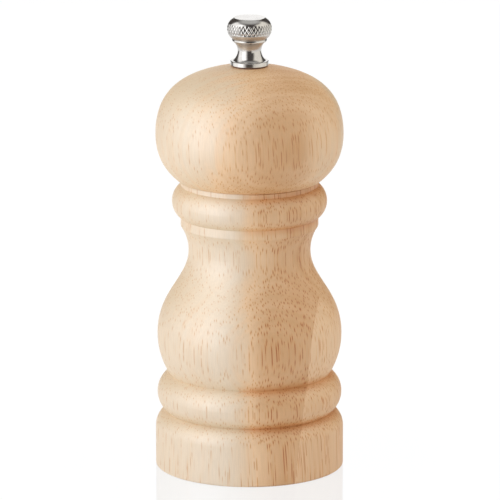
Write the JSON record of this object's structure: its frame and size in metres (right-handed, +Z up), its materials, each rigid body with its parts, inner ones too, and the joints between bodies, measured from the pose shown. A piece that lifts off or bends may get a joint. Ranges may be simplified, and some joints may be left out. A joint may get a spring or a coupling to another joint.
{
  "type": "pepper mill",
  "caption": "Turned wooden pepper mill: its round head turns a square spindle and a toothed grinding cone in the foot, and a knurled nut on top sets the grind.",
  "frame": {"origin": "centre of the foot, on the plane that the mill stands on", "axes": "+Z up along the turning axis, through the adjusting nut; X along the bridge in the hopper"},
  "size_m": [0.0577, 0.0576, 0.1397],
  "materials": {
    "rubberwood": "satin clear lacquer over straight-grained wood",
    "bright_nickel": "turned, polished and plated, with a knurled band",
    "hardened_steel": "hardened and oil-blackened",
    "plated_steel": "zinc plated sheet and screws",
    "spring_steel": "drawn bright",
    "bar_steel": "cold drawn bright bar",
    "white_nylon": "moulded, satin",
    "red_fibre": "vulcanised fibre"
  },
  "bodies": {
    "base": {"mill_body": "rubberwood", "grinding_ring": "hardened_steel", "retaining_plate": "plated_steel", "retaining_screws": "plated_steel", "bridge": "plated_steel", "bridge_rivets": "plated_steel", "bridge_bush": "white_nylon"},
    "spring_set": {"thrust_washer": "plated_steel", "spring": "spring_steel"},
    "grinder": {"spindle": "bar_steel", "spindle_clip": "spring_steel", "grinding_cone": "hardened_steel", "cone_washer": "plated_steel", "cone_nut": "plated_steel", "spring_seat": "plated_steel"},
    "turning_head": {"head": "rubberwood", "drive_plate": "plated_steel", "drive_plate_screws": "plated_steel", "nut_washer": "red_fibre"},
    "adjuster": {"adjusting_nut": "bright_nickel"}
  },
  "joints": [
    {"name": "head_turn", "type": "hinge", "parent": "base", "child": "spring_set", "pos_m": [0, 0, 0.034], "axis": [0, 0, 1], "continuous": true},
    {"name": "spindle_draw", "type": "slide", "parent": "spring_set", "child": "grinder", "axis": [0, 0, 1], "range_m": [-0.001, 0.0006], "deforming": ["spring"]},
    {"name": "head_lift", "type": "slide", "parent": "spring_set", "child": "turning_head", "axis": [0, 0, 1], "range_m": [0, 0.07]},
    {"name": "nut_turn", "type": "hinge", "parent": "turning_head", "child": "adjuster", "pos_m": [0, 0, 0.1325], "axis": [0, 0, 1], "range_deg": [-270, 450]}
  ],
  "couplings": [
    {"joint": "nut_turn", "follows": "spindle_draw", "rad_per_m": -7854}
  ]
}
